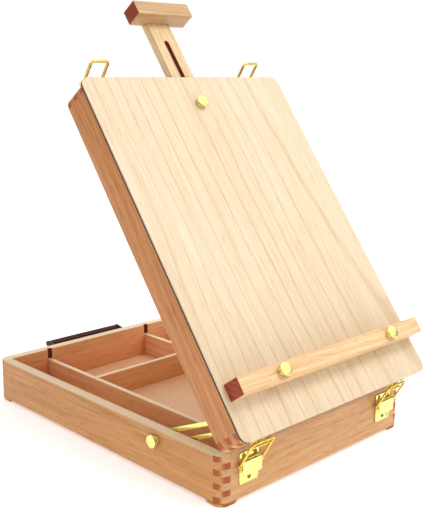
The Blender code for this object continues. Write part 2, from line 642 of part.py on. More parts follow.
def add_axes():
    on_lid = ["lid_front_rail", "lid_back_rail", "lid_left_rail", "lid_right_rail", "drawing_board",
              "ledge",
              "mast_guide_left", "mast_guide_right", "mast_washer", "mast_nut"]
    on_lid += [f"{piece}_{word}" for piece in ("ledge_nut", "stay_screw", "latch_keeper_front",
                                               "latch_plate_back")
               for word in ("left", "right")]
    lid = add_axis("lid", LID_AXIS, LID_POSE, on_lid)
    add_axis("mast", (0, MAST_KNOB_Y, MAST_HIGH), LID_POSE, ["mast", "canvas_holder"], lid)
    add_axis("mast_knob", (0, MAST_KNOB_Y, BOARD_HIGH), LID_POSE, ["mast_knob"], lid)
    add_axis("handle", (0, *HANDLE_AXIS), HOME, ["handle_grip", "handle_arm_left", "handle_arm_right"])
    for name, place in (("divider_left", (LEFT_DIVIDER_X, 0, DIVIDER_HIGH)),
                        ("divider_right", (RIGHT_DIVIDER_X, 0, DIVIDER_HIGH)),
                        ("divider_cross", (0, CROSS_DIVIDER_Y, DIVIDER_HIGH))):
        add_axis(name, place, HOME, [name])
    for i, (word, side) in enumerate((("left", -1), ("right", 1))):
        ledge_x, front_x, back_x = LEDGE_KNOBS_X[i], FRONT_LATCH["x"][i], BACK_LATCH["x"][i]
        add_axis(f"stay_{word}", (side * STAY_X[0], *STAY_PIVOT), LID_POSE, [f"stay_{word}"], lid)
        add_axis(f"side_knob_{word}", (side * HALF_X, *SIDE_BOLT), HOME, [f"side_knob_{word}"])
        add_axis(f"ledge_knob_{word}", (ledge_x, LEDGE_KNOB_Y, LEDGE_HIGH), LID_POSE,
                 [f"ledge_knob_{word}"], lid)
        loop_place = (front_x, -HALF_Y - LOOP_PIVOT[0], TRAY_HIGH + LOOP_PIVOT[1])
        front = add_axis(f"front_lever_{word}",
                         (front_x, -HALF_Y - LATCH_PIN[0], TRAY_HIGH + LATCH_PIN[1]), HOME,
                         [f"latch_lever_front_{word}"])
        rod = add_axis(f"front_rod_{word}", loop_place, HOME, [f"latch_rod_front_{word}"], front)
        add_axis(f"front_loop_{word}", loop_place, HOME, [f"latch_loop_front_{word}"], rod)
        back = add_axis(f"back_lever_{word}", (back_x, HALF_Y + LATCH_PIN[0], LID_LOW - LATCH_PIN[1]),
                        LID_POSE,
                        [f"latch_lever_back_{word}"], lid)
        loop = bpy.data.objects[f"latch_loop_back_{word}"]
        add_axis(f"back_loop_{word}", (0, 0, 0), loop.matrix_world.copy(), [loop.name], back)


clear_scene()
make_tray()
make_handle()
make_lid()
make_mast()
make_clamps()
make_stays()
make_latches()
add_axes()
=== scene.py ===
import json
import math

import bpy
from mathutils import Matrix, Vector

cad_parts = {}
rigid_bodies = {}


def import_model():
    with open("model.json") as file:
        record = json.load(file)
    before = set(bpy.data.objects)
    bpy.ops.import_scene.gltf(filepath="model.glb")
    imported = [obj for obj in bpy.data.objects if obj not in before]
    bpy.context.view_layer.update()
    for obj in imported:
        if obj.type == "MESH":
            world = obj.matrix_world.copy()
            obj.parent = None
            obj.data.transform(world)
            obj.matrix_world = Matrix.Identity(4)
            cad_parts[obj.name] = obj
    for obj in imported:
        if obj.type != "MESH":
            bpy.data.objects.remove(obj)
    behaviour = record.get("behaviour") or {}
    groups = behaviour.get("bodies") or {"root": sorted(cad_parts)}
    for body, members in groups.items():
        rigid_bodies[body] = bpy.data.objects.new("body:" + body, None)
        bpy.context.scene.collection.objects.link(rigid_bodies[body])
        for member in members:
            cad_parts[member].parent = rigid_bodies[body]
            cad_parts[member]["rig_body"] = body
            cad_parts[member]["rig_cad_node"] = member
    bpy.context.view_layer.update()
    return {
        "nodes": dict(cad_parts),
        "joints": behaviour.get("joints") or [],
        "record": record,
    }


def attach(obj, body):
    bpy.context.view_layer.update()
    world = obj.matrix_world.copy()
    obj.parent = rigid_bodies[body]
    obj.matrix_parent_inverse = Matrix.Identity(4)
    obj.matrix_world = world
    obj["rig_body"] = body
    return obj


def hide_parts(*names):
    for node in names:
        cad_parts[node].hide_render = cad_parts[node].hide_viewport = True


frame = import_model()
nodes = frame["nodes"]
joints = {joint["name"]: joint for joint in frame["joints"]}
bodies = frame["record"]["behaviour"]["bodies"]
bodyOf = {node: body for body, members in bodies.items() for node in members}
mm = 0.001
sides = (("left", -1), ("right", 1))

print("frame loaded:", len(nodes), "nodes")

# The lid's pieces are worked out closed, and then turned up about its hinge line.
lidHinge = Vector(joints["lid_tilt"]["pos_m"])
lidTilt = -math.radians(joints["lid_tilt"]["range_deg"][0])
lidUp = Matrix.Translation(lidHinge) @ Matrix.Rotation(lidTilt, 4, "X") @ Matrix.Translation(-lidHinge)
atRest = Matrix.Identity(4)


def boxOf(node, placed=atRest):
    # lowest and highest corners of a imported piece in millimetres, with its body's place taken off
    back = placed.inverted()
    points = [back @ vertex.co for vertex in nodes[node].data.vertices]
    low = Vector([min(p[i] for p in points) for i in range(3)]) / mm
    high = Vector([max(p[i] for p in points) for i in range(3)]) / mm
    return low, high


# Helpers for shapes.

def clearSelection():
    if bpy.context.mode != "OBJECT":
        bpy.ops.object.mode_set(mode="OBJECT")
    bpy.ops.object.select_all(action="DESELECT")


def pick(piece):
    clearSelection()
    piece.select_set(True)
    bpy.context.view_layer.objects.active = piece


def applyModifiers(piece):
    pick(piece)
    for modifier in list(piece.modifiers):
        bpy.ops.object.modifier_apply(modifier=modifier.name)


def easeEdges(piece, width, segments=2, angle=30):
    modifier = piece.modifiers.new("Soft edges", "BEVEL")
    modifier.width = width * mm
    modifier.segments = segments
    modifier.limit_method = "ANGLE"
    modifier.angle_limit = math.radians(angle)
    applyModifiers(piece)


def smoothByAngle(piece, angle=35):
    pick(piece)
    bpy.ops.object.shade_smooth_by_angle(angle=math.radians(angle))


def startDisc(corners, radius, at, turn=0.0):
    # a flat disc left open in edit mode, ready to be drawn out; sizes in mm, its turn about Y in degrees
    clearSelection()
    bpy.ops.mesh.primitive_circle_add(vertices=corners, radius=radius * mm, fill_type="NGON",
                                      location=[v * mm for v in at], rotation=(0, math.radians(turn), 0))
    bpy.ops.object.mode_set(mode="EDIT")
    bpy.ops.mesh.select_all(action="SELECT")
    return bpy.context.object


def drawOut(x=0.0, z=0.0, grow=(1, 1, 1)):
    bpy.ops.mesh.extrude_region_move(TRANSFORM_OT_translate={"value": (x * mm, 0, z * mm)})
    if tuple(grow) != (1, 1, 1):
        bpy.ops.transform.resize(value=grow)


def finishMesh(piece, name, placed=atRest):
    # leaves edit mode with clean outward faces, and puts the piece's place into its mesh
    bpy.ops.mesh.select_all(action="SELECT")
    bpy.ops.mesh.remove_doubles(threshold=1e-6)
    bpy.ops.mesh.normals_make_consistent(inside=False)
    bpy.ops.object.mode_set(mode="OBJECT")
    piece.name = name
    piece.data.name = name
    piece.data.transform(placed @ piece.matrix_world)
    piece.matrix_world = Matrix.Identity(4)
    return piece


def copyTo(piece, name, placed):
    made = piece.copy()
    made.data = piece.data.copy()
    made.name = name
    made.data.transform(placed)
    bpy.context.scene.collection.objects.link(made)
    return made


def joinInto(piece, others):
    pick(piece)
    for other in others:
        other.select_set(True)
    bpy.ops.object.join()


def discard(piece):
    bpy.data.objects.remove(piece, do_unlink=True)


def easedCopy(node, width=0.5, segments=2, angle=30):
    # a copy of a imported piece, with its doubles merged, its flats made whole and its edges eased
    source = nodes[node]
    piece = source.copy()
    piece.data = source.data.copy()
    piece.name = node + "_eased"
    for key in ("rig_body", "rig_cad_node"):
        del piece[key]
    piece.parent = None
    bpy.context.scene.collection.objects.link(piece)
    pick(piece)
    bpy.ops.object.mode_set(mode="EDIT")
    bpy.ops.mesh.select_all(action="SELECT")
    bpy.ops.mesh.remove_doubles(threshold=2e-6)
    bpy.ops.mesh.dissolve_limited(angle_limit=math.radians(0.5))
    bpy.ops.object.mode_set(mode="OBJECT")
    if width:
        easeEdges(piece, width, segments, angle)
    smoothByAngle(piece)
    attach(piece, bodyOf[node])
    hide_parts(node)
    return piece


# Helpers for materials.

def toLinear(hexColour):
    values = [int(hexColour[i:i + 2], 16) / 255 for i in (1, 3, 5)]
    return tuple(v / 12.92 if v <= 0.04045 else ((v + 0.055) / 1.055) ** 2.4 for v in values) + (1.0,)


def addNode(tree, kind, inputs=None, **settings):
    node = tree.nodes.new(kind)
    for name, value in settings.items():
        setattr(node, name, value)
    for socket, value in (inputs or {}).items():
        if isinstance(value, bpy.types.NodeSocket):
            tree.links.new(value, node.inputs[socket])
        else:
            node.inputs[socket].default_value = value
    return node


def newMaterial(name):
    made = bpy.data.materials.new(name)
    made.use_nodes = True
    return made, made.node_tree, made.node_tree.nodes["Principled BSDF"]


def dress(piece, made):
    piece.data.materials.clear()
    piece.data.materials.append(made)


# How a piece's grain is brought onto X: across the tray, along the tray, across the lid, along the lid.
tilt = math.degrees(lidTilt)
grainTurns = {"acrossTray": (0, 0, 0), "alongTray": (0, 0, -90), "acrossLid": (-tilt, 0, 0),
              "alongLid": (-tilt, 0, -90)}

beechLook = {
    "ringGap": 7.0,        # mm between growth rings where the saw crossed them
    "fibreLength": 60.0,   # mm
    "fibreWidth": 1.3,     # mm; real fibres are finer, but these are as fine as show
    "fleckLength": 8.0,    # mm, the ray flecks that mark beech, drawn a little coarse so that they show
    "fleckWidth": 1.1,
    "bandWidth": 16.0,     # mm, slow changes of tone across the board
    "bump": 0.08,          # mm
}


def makeBeech(name, grain, pale, deep, end, shift=(0, 30, 45), rings=0.16, thinRings=False, fibres=0.4,
              flecks=0.3,
              bands=0.16, paintedTopLight=0.0, paintedHeadLight=0.0, slots=(), plyShadeFrom=None, rough=0.45):
    # Steamed European beech, planed, sanded and clear varnished: a close pinkish-tan wood with soft growth
    # rings, straight fine fibres, short ray flecks, redder and duller end grain, and painted shade in cut
    # slots.
    made, tree, shader = newMaterial(name)
    look = beechLook

    def calculate(operation, first, second=0.0, third=0.0):
        values = {0: first, 1: second, 2: third}
        return addNode(tree, "ShaderNodeMath", values, operation=operation).outputs[0]

    def spread(value, low, high, outLow=0.0, outHigh=1.0):
        return addNode(tree, "ShaderNodeMapRange",
                       {"Value": value, "From Min": low, "From Max": high, "To Min": outLow, "To Max": outHigh},
                       interpolation_type="SMOOTHSTEP").outputs[0]

    def blendColour(amount, first, second):
        return addNode(tree, "ShaderNodeMix", {0: amount, 6: first, 7: second}, data_type="RGBA").outputs[2]

    def scaled(vector, factors):
        return addNode(tree, "ShaderNodeVectorMath", {0: vector, 1: factors}, operation="MULTIPLY").outputs[0]

    turn = [math.radians(angle) for angle in grainTurns[grain]]
    coords = addNode(tree, "ShaderNodeTexCoord")
    inMm = scaled(coords.outputs["Object"], (1 / mm,) * 3)
    along = addNode(tree, "ShaderNodeMapping", {"Vector": inMm, "Rotation": turn, "Location": shift}).outputs[0]
    facing = addNode(tree, "ShaderNodeMapping", {"Vector": coords.outputs["Normal"], "Rotation": turn},
                     vector_type="VECTOR")
    faceX, faceY, faceZ = addNode(tree, "ShaderNodeSeparateXYZ", {0: facing.outputs[0]}).outputs
    wander = addNode(tree, "ShaderNodeTexNoise",
                     {"Vector": scaled(along, (0.2, 1, 1)), "Scale": 0.012, "Detail": 1.0})
    bent = addNode(tree, "ShaderNodeVectorMath", {0: wander.outputs["Color"], 1: (0, 26, 26), 2: along},
                   operation="MULTIPLY_ADD").outputs[0]
    # The pith lies a little askew below the board, so that the rings run out into long arches.
    leaning = addNode(tree, "ShaderNodeMapping",
                      {"Vector": bent, "Rotation": (0, math.radians(3.0), math.radians(1.2))})
    ringScale = 0.314 / (look["ringGap"] * (2.2 if thinRings else 1.0))
    ring = addNode(tree, "ShaderNodeTexWave",
                   {"Vector": leaning.outputs[0], "Scale": ringScale, "Distortion": 1.4, "Detail": 2.0,
                    "Detail Scale": 0.4}, wave_type="RINGS", rings_direction="X").outputs["Fac"]

    def streaks(length, width, detail=0.0):
        return addNode(tree, "ShaderNodeTexNoise",
                       {"Vector": scaled(bent, (1 / length, 1 / width, 1 / width)), "Scale": 0.5,
                        "Detail": detail}).outputs["Fac"]

    fibre = streaks(look["fibreLength"], look["fibreWidth"], 2.0)
    fleck = spread(streaks(look["fleckLength"], look["fleckWidth"]), 0.58, 0.74)
    band = spread(streaks(420, look["bandWidth"], 2.0), 0.3, 0.7)
    lateWood = spread(ring, 0.88, 1.0) if thinRings else spread(ring, 0.15, 1.0)
    tone = calculate("MULTIPLY_ADD", lateWood, rings, calculate("MULTIPLY", spread(fibre, 0.3, 0.72), fibres))
    tone = calculate("MULTIPLY_ADD", band, bands, tone)
    tone = calculate("MULTIPLY_ADD", fleck, flecks, tone)
    face = blendColour(tone, toLinear(pale), toLinear(deep))
    if paintedTopLight:
        # Painted highlight: faces turned up are painted paler cream, as if lit from above.
        worldUp = addNode(tree, "ShaderNodeSeparateXYZ", {0: coords.outputs["Normal"]}).outputs[2]
        top = calculate("MULTIPLY", spread(worldUp, 0.3, 0.8), paintedTopLight)
        face = blendColour(top, face, toLinear("#ffe9c3"))
    if paintedHeadLight:
        # Painted highlight: faces that look up the raised lid, such as the T-bar's top face, are painted paler
        # cream, as if lit from above.
        head = calculate("MULTIPLY", spread(faceY, 0.3, 0.8), paintedHeadLight)
        face = blendColour(head, face, toLinear("#fbe6c0"))

    pores = spread(streaks(0.9, 0.9, 2.0), 0.3, 0.7)
    endTone = calculate("MULTIPLY_ADD", spread(ring, 0.2, 0.9), 0.3, calculate("MULTIPLY", pores, 0.35))
    endFace = blendColour(endTone, toLinear(end), blendColour(0.18, toLinear(end), toLinear(deep)))
    isEnd = spread(calculate("ABSOLUTE", faceX), 0.6, 0.9)
    face = blendColour(isEnd, face, endFace)

    x, y, z = addNode(tree, "ShaderNodeSeparateXYZ", {0: inMm}).outputs
    # Painted shade: the walls of cut slots and grooves are painted dark brown, as shade falls into them.
    for middle, halfWidth, nearest, furthest in slots:
        inside = calculate("LESS_THAN", calculate("ABSOLUTE", calculate("SUBTRACT", x, middle)), halfWidth)
        inside = calculate("MULTIPLY", inside, calculate("GREATER_THAN", y, nearest))
        inside = calculate("MULTIPLY", inside, calculate("LESS_THAN", y, furthest))
        inside = calculate("MULTIPLY", inside, calculate("LESS_THAN", calculate("ABSOLUTE", faceZ), 0.5))
        face = blendColour(inside, face, blendColour(pores, toLinear("#6b2612"), toLinear("#8c3a1e")))
    if plyShadeFrom is not None:
        # The sheet's cut edge: a pale face veneer above a dark brown band, which is the core and back veneer
        # and also painted shade, the shadow line under the board where it overhangs the rails.
        height = addNode(tree, "ShaderNodeSeparateXYZ", {0: along}).outputs[2]
        coreAndShade = spread(calculate("SUBTRACT", height, plyShadeFrom + shift[2]), -0.25, 0.1, 1.0, 0.0)
        isEdge = spread(calculate("ABSOLUTE", faceZ), 0.35, 0.6, 1.0, 0.0)
        face = blendColour(calculate("MULTIPLY", isEdge, coreAndShade), face,
                           blendColour(pores, toLinear("#35190b"), toLinear("#5f3a1e")))
    tree.links.new(face, shader.inputs["Base Color"])

    tree.links.new(spread(fibre, 0.25, 0.8, rough - 0.06, rough + 0.1), shader.inputs["Roughness"])
    relief = calculate("MULTIPLY_ADD", fibre, 0.7, calculate("MULTIPLY", fleck, -0.35))
    bump = addNode(tree, "ShaderNodeBump", {"Height": relief, "Strength": 0.3, "Distance": look["bump"] * mm})
    tree.links.new(bump.outputs[0], shader.inputs["Normal"])
    shader.inputs["Specular IOR Level"].default_value = 0.3
    shader.inputs["Coat Weight"].default_value = 0.04
    shader.inputs["Coat Roughness"].default_value = 0.3
    return made


def makeBrass(name, pale="#f9f0a2", deep="#e8d878", rough=0.2, bump=0.015):
    # Bright brass plate over stamped steel: a pale lemon mirror, with faint rolling marks and duller clouds.
    made, tree, shader = newMaterial(name)
    coords = addNode(tree, "ShaderNodeTexCoord")
    inMm = addNode(tree, "ShaderNodeVectorMath", {0: coords.outputs["Object"], 3: 1 / mm}, operation="SCALE")
    cloud = addNode(tree, "ShaderNodeTexNoise", {"Vector": inMm.outputs[0], "Scale": 0.22, "Detail": 3.0})
    marks = addNode(tree, "ShaderNodeTexNoise", {"Vector": inMm.outputs[0], "Scale": 1.4, "Detail": 4.0})
    tone = addNode(tree, "ShaderNodeMix", {0: cloud.outputs["Fac"], 6: toLinear(pale), 7: toLinear(deep)},
                   data_type="RGBA")
    tree.links.new(tone.outputs[2], shader.inputs["Base Color"])
    worn = addNode(tree, "ShaderNodeMapRange",
                   {"Value": marks.outputs["Fac"], "From Min": 0.3, "From Max": 0.75,
                                                "To Min": rough - 0.06, "To Max": rough + 0.12})
    tree.links.new(worn.outputs[0], shader.inputs["Roughness"])
    bumpNode = addNode(tree, "ShaderNodeBump",
                       {"Height": marks.outputs["Fac"], "Strength": 0.3, "Distance": bump * mm})
    tree.links.new(bumpNode.outputs[0], shader.inputs["Normal"])
    shader.inputs["Metallic"].default_value = 1.0
    return made


def makeSteel(name):
    # Mild steel with a satin black lacquer: nearly black, softly glossy, with a fine orange-peel skin.
    made, tree, shader = newMaterial(name)
    coords = addNode(tree, "ShaderNodeTexCoord")
    peel = addNode(tree, "ShaderNodeTexNoise",
                   {"Vector": coords.outputs["Object"], "Scale": 900.0, "Detail": 2.0})
    tone = addNode(tree, "ShaderNodeMix",
                   {0: peel.outputs["Fac"], 6: toLinear("#0f0b0a"), 7: toLinear("#1c1614")}, data_type="RGBA")
    tree.links.new(tone.outputs[2], shader.inputs["Base Color"])
    bumpNode = addNode(tree, "ShaderNodeBump",
                       {"Height": peel.outputs["Fac"], "Strength": 0.25, "Distance": 0.05 * mm})
    tree.links.new(bumpNode.outputs[0], shader.inputs["Normal"])
    shader.inputs["Roughness"].default_value = 0.42
    shader.inputs["Specular IOR Level"].default_value = 0.25
    return made


def makeLeather(name):
    # Dyed cowhide, plated: a dark wine brown with pebbles about 1.5 mm across and duller creases.
    made, tree, shader = newMaterial(name)
    coords = addNode(tree, "ShaderNodeTexCoord")
    pebble = addNode(tree, "ShaderNodeTexVoronoi", {"Vector": coords.outputs["Object"], "Scale": 650.0},
                     feature="SMOOTH_F1")
    cloud = addNode(tree, "ShaderNodeTexNoise",
                    {"Vector": coords.outputs["Object"], "Scale": 70.0, "Detail": 3.0})
    tone = addNode(tree, "ShaderNodeMix",
                   {0: cloud.outputs["Fac"], 6: toLinear("#2e0906"), 7: toLinear("#4a140e")}, data_type="RGBA")
    tree.links.new(tone.outputs[2], shader.inputs["Base Color"])
    bumpNode = addNode(tree, "ShaderNodeBump",
                       {"Height": pebble.outputs["Distance"], "Strength": 0.6, "Distance": 0.25 * mm})
    tree.links.new(bumpNode.outputs[0], shader.inputs["Normal"])
    shader.inputs["Roughness"].default_value = 0.55
    shader.inputs["Specular IOR Level"].default_value = 0.12
    return made


def makeThread(name):
    # Waxed linen thread: two plies laid together, red brown and softly shiny.
    made, tree, shader = newMaterial(name)
    coords = addNode(tree, "ShaderNodeTexCoord")
    ply = addNode(tree, "ShaderNodeTexWave",
                  {"Vector": coords.outputs["Object"], "Scale": 380.0, "Distortion": 1.0},
                  bands_direction="DIAGONAL")
    tone = addNode(tree, "ShaderNodeMix",
                   {0: ply.outputs["Fac"], 6: toLinear("#5b2a22"), 7: toLinear("#8a5142")}, data_type="RGBA")
    tree.links.new(tone.outputs[2], shader.inputs["Base Color"])
    shader.inputs["Roughness"].default_value = 0.55
    return made


print("materials ready")

# Wooden pieces.

# Painted shade: tan, russet and honey are darker, redder copies of the one beech, for the walls and rails whose
# sides face away from the light and for the T-bar's front, which faces down.
tan = {"pale": "#ce975f", "deep": "#ad703a", "end": "#a04a20"}
russet = {"pale": "#c38753", "deep": "#a46332", "end": "#98431c"}
straw = {"pale": "#d2a471", "deep": "#b07a49", "end": "#a04a20"}
veneer = {"pale": "#ddcaab", "deep": "#b78e62", "end": "#b98357"}
blond = {"pale": "#e9cb9c", "deep": "#c58f5c", "end": "#8a2a0e"}
honey = {"pale": "#c19d74", "deep": "#a4774a", "end": "#82230a"}
wheat = {"pale": "#dfc79d", "deep": "#bd9464", "end": "#8a2a0e"}
# Painted light: inner is a brighter orange copy of the beech for the tray's inside, the warm light bounced
# between its walls painted in.
inner = {"pale": "#f3b583", "deep": "#d3905c", "end": "#b8693c"}

boardHigh = boxOf("drawing_board", lidUp)[1]
# The grain mapping turns about the origin, so a height on the closed lid moves by this much.
hingeShift = (Matrix.Rotation(-lidTilt, 3, "X") @ lidHinge - lidHinge).z / mm
backHigh = boxOf("back_wall")[1]
grooveEdge = 0.5                             # mm past the divider's sides
dividerSlots = []
for node in ("divider_left", "divider_right"):
    low, high = boxOf(node)
    dividerSlots.append(((low.x + high.x) / 2, (high.x - low.x) / 2 + grooveEdge))
grooveStart, grooveEnd = 0.3, 5.0            # mm behind the wall's inner face
wallInside = backHigh.y - 12.0               # the walls are 12 mm thick
backSlots = [(x, half, wallInside + grooveStart, wallInside + grooveEnd) for x, half in dividerSlots]
frontSlots = [(x, half, -wallInside - grooveEnd, -wallInside - grooveStart) for x, half in dividerSlots]
mastSlot = [(0.0, 3.8, -1000.0, 1000.0)]     # mm, the middle and half width of the slot along the whole mast

woodPieces = {
    "front_wall": ("acrossTray", straw, 1.0, {"paintedTopLight": 0.8, "slots": frontSlots}),
    "back_wall": ("acrossTray", inner, 1.0, {"paintedTopLight": 0.9, "slots": backSlots}),
    "left_wall": ("alongTray", tan, 1.0, {"paintedTopLight": 0.8}),
    "right_wall": ("alongTray", tan, 1.0, {"paintedTopLight": 0.9}),
    "lid_front_rail": ("acrossLid", straw, 0.8, {}),
    "lid_back_rail": ("acrossLid", tan, 0.8, {}),
    "lid_left_rail": ("alongLid", russet, 0.8, {"fibres": 0.5}),
    "lid_right_rail": ("alongLid", tan, 0.8, {}),
    "divider_left": ("alongTray", inner, 0.5, {"paintedTopLight": 0.95}),
    "divider_right": ("alongTray", inner, 0.5, {"paintedTopLight": 0.95}),
    "divider_cross": ("acrossTray", inner, 0.5, {"paintedTopLight": 0.95}),
    "tray_floor": ("alongTray", inner, 0.0, {"flecks": 0.1, "paintedTopLight": 0.35}),
    "drawing_board": ("alongLid", veneer, 0.25,
                      {"rings": 0.24, "thinRings": True, "fibres": 0.2, "flecks": 0.14, "bands": 0.1,
                                                "plyShadeFrom": boardHigh.z + hingeShift - 1.5}),
    "ledge": ("acrossLid", blond, 0.5, {"flecks": 0.2}),
    "mast": ("alongLid", wheat, 0.5, {"slots": mastSlot}),
    "canvas_holder": ("acrossLid", honey, 0.6, {"flecks": 0.2, "paintedHeadLight": 0.9}),
    "mast_guide_left": ("alongLid", tan, 0.8, {}),
    "mast_guide_right": ("alongLid", tan, 0.8, {}),
    "foot_front_left": ("alongTray", tan, 0.6, {}),
    "foot_front_right": ("alongTray", tan, 0.6, {}),
    "foot_back_left": ("alongTray", tan, 0.6, {}),
    "foot_back_right": ("alongTray", tan, 0.6, {}),
}
for count, (node, (grain, tones, width, extras)) in enumerate(woodPieces.items()):
    piece = easedCopy(node, width)
    looks = makeBeech(f"{node}_beech", grain, shift=(137.0 * count, 30 + 7.0 * count, 45 - 5.0 * count),
                      **tones, **extras)
    dress(piece, looks)

print("wood done")

# Brass fittings.

brass = makeBrass("brass_plate")
polishedBrass = makeBrass("polished_brass", "#fbf3a0", "#efe084", 0.12, 0.008)
wireBrass = makeBrass("brass_wire", "#f7e878", "#c8943c", 0.2)
agedBrass = makeBrass("aged_brass", "#a2904a", "#6f5f2c", 0.34)
steel = makeSteel("lacquered_steel")
leather = makeLeather("plated_cowhide")
thread = makeThread("waxed_thread")

knobShape = {
    "height": 7.4,         # mm above the wood, as packed
    "corners": 40,
    "thread": (0.5, 0.6),  # mm, how much the bolt's end narrows, and over what length
    "crown": (0.15, 0.4),  # mm and share of its width, the last rise in the middle of the face
    # radius and height of each turned step above the bolt: foot, neck, head, rim and slightly domed face
    "steps": ((4.4, 0.0), (4.6, 0.3), (4.4, 0.8), (3.6, 1.1), (3.5, 3.9), (3.7, 4.3), (6.5, 4.5), (6.9, 4.7),
              (7.0, 5.0),
              (7.0, 5.9), (6.85, 6.3), (6.5, 6.6), (6.1, 6.7), (4.6, 6.95), (2.8, 7.15), (1.2, 7.23)),
}


def turnedKnob(name, node, joint, boltRadius):
    # turned from bar: a bolt, a narrow neck and a wide polished head
    shape = knobShape
    axis = Vector(joints[joint]["axis"])
    foot = Vector(joints[joint]["pos_m"])
    heights = [(vertex.co - foot).dot(axis) / mm for vertex in nodes[node].data.vertices]
    base, tip = max(heights) - shape["height"], min(heights)
    narrowing, over = shape["thread"]
    steps = [(boltRadius - narrowing, tip), (boltRadius, tip + over), (boltRadius, base)]
    steps += [(radius, base + height) for radius, height in shape["steps"]]
    piece = startDisc(shape["corners"], steps[0][0], (0, 0, steps[0][1]))
    for (radius, height), (newRadius, newHeight) in zip(steps, steps[1:]):
        drawOut(z=newHeight - height, grow=(newRadius / radius, newRadius / radius, 1))
    rise, share = shape["crown"]
    drawOut(z=rise, grow=(share, share, 1))
    bpy.ops.mesh.poke()
    turned = Matrix.Translation(foot) @ axis.to_track_quat("Z", "Y").to_matrix().to_4x4()
    piece = finishMesh(piece, name)
    piece.data.transform(turned)
    smoothByAngle(piece, 40)
    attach(piece, bodyOf[node])
    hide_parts(node)
    dress(piece, polishedBrass)


turnedKnob("mast_clamp_knob", "mast_knob", "mast_knob_turn", 2.4)
for word, side in sides:
    turnedKnob(f"ledge_clamp_knob_{word}", f"ledge_knob_{word}", f"ledge_knob_{word}_turn", 2.4)
    turnedKnob(f"side_clamp_knob_{word}", f"side_knob_{word}", f"side_knob_{word}_turn", 1.8)

loopShape = {
    "corners": 14,
    "packedRadius": 1.25,                     # mm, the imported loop's wire
    "wire": {"front": 1.4, "back": 1.6},      # mm, the drawn wire's radius
    "bend": 4.2,                              # mm, radius of the corner bends
    "bendSteps": 6,
    "eye": (1.75, 0.62),                      # mm, radius of the front loop's eyes, and of their wire
    "eyeLength": 1.7,                         # how much longer an eye is along its rod than it is thick
    "legStart": 1.6,                          # mm from the rod's axis to the front loop's legs
    "tail": 1.2,                              # mm, radius of the back loop's ends where they enter the lever
    "tailBend": 2.0,                          # mm, radius of the bend into each end
    "tailLength": 1.0,                        # mm, the straight stretch past that bend
    "barDepth": 3.2,                          # mm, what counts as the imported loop's far bar
}


def bendWire(x, z):
    # a quarter turn about a line along Y through this place
    bpy.ops.mesh.spin(steps=loopShape["bendSteps"], angle=math.radians(90), center=(x * mm, 0, z * mm),
                      axis=(0, 1, 0))


def bentLoop(where, word):
    # one length of brass wire bent twice; the front loops end in eyes, the back ones turn in to the lever
    shape = loopShape
    node = f"latch_loop_{where}_{word}"
    pivot = Vector(joints[f"{where}_loop_{word}_swing"]["pos_m"]) / mm
    points = [vertex.co / mm - pivot for vertex in nodes[node].data.vertices]
    wire, bend, tail, tailBend = shape["wire"][where], shape["bend"], shape["tail"], shape["tailBend"]
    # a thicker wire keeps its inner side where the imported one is, so that it clears the plate and hooks alike
    half = max(abs(p.x) for p in points) + wire - 2 * shape["packedRadius"]
    furthest = max(math.hypot(p.y, p.z) for p in points)
    length = furthest + wire - 2 * shape["packedRadius"]
    farBar = [p for p in points if math.hypot(p.y, p.z) > furthest - shape["barDepth"]]
    lean = Matrix.Rotation(math.atan2(-sum(p.y for p in farBar), sum(p.z for p in farBar)), 4, "X")
    if where == "front":
        start = shape["legStart"]
        piece = startDisc(shape["corners"], wire, (half, 0, start))
    else:
        start = tailBend
        piece = startDisc(shape["corners"], tail, (half - tailBend - shape["tailLength"], 0, 0), 90)
        drawOut(x=shape["tailLength"])
        bpy.ops.transform.resize(value=(1, wire / tail, wire / tail))
        bendWire(half - tailBend, tailBend)
    drawOut(z=length - bend - start)
    bendWire(half - bend, length - bend)
    drawOut(x=-2 * (half - bend))
    bendWire(bend - half, length - bend)
    drawOut(z=-(length - bend - start))
    if where == "back":
        bendWire(tailBend - half, tailBend)
        bpy.ops.transform.resize(value=(1, tail / wire, tail / wire))
        drawOut(x=shape["tailLength"])
    placed = Matrix.Translation(pivot * mm) @ lean
    piece = finishMesh(piece, f"{where}_wire_loop_{word}", placed)
    if where == "front":
        joinInto(piece, [loopEye(way * half, placed) for way in (-1, 1)])
    smoothByAngle(piece, 50)
    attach(piece, bodyOf[node])
    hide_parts(node)
    dress(piece, wireBrass)


def loopEye(x, placed):
    # the wire's end curled round the rod
    radius, thickness = loopShape["eye"]
    clearSelection()
    bpy.ops.mesh.primitive_torus_add(major_radius=radius * mm, minor_radius=thickness * mm, major_segments=24,
                                     minor_segments=10, location=(x * mm, 0, 0),
                                     rotation=(0, math.radians(90), 0))
    eye = bpy.context.object
    bpy.ops.object.mode_set(mode="EDIT")
    bpy.ops.transform.resize(value=(loopShape["eyeLength"], 1, 1))
    return finishMesh(eye, "wire_eye", placed)


for word, side in sides:
    for where in ("front", "back"):
        bentLoop(where, word)

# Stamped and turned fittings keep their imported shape, with their edges eased as a press leaves them.
stampedWidths = {"latch_plate": 0.2, "latch_lever": 0.3, "latch_keeper": 0.25, "latch_rod": 0.2,
                 "stay_l": 0.2, "stay_r": 0.2,
                 "stay_screw": 0.2, "ledge_nut": 0.2, "side_nut": 0.3, "mast_washer": 0.2, "mast_nut": 0.4}
for node in nodes:
    widths = [width for start, width in stampedWidths.items() if node.startswith(start)]
    if widths:
        dress(easedCopy(node, widths[0], 2, 40), brass)

screwShape = {
    "corners": 24,
    "radius": 2.4,                                            # mm
    "sink": 0.4,                                              # mm below the face it stands on
    "rim": 0.25,                                              # mm, the height of its straight side
    "steps": ((0.3, 0.9), (0.25, 0.78), (0.1, 0.5)),          # mm up and share of the width kept, for the dome
    "slot": (0.55, 0.5),                                      # mm, its width and depth
    "backSize": 0.8,                                          # the back latches' screws beside the front ones
}


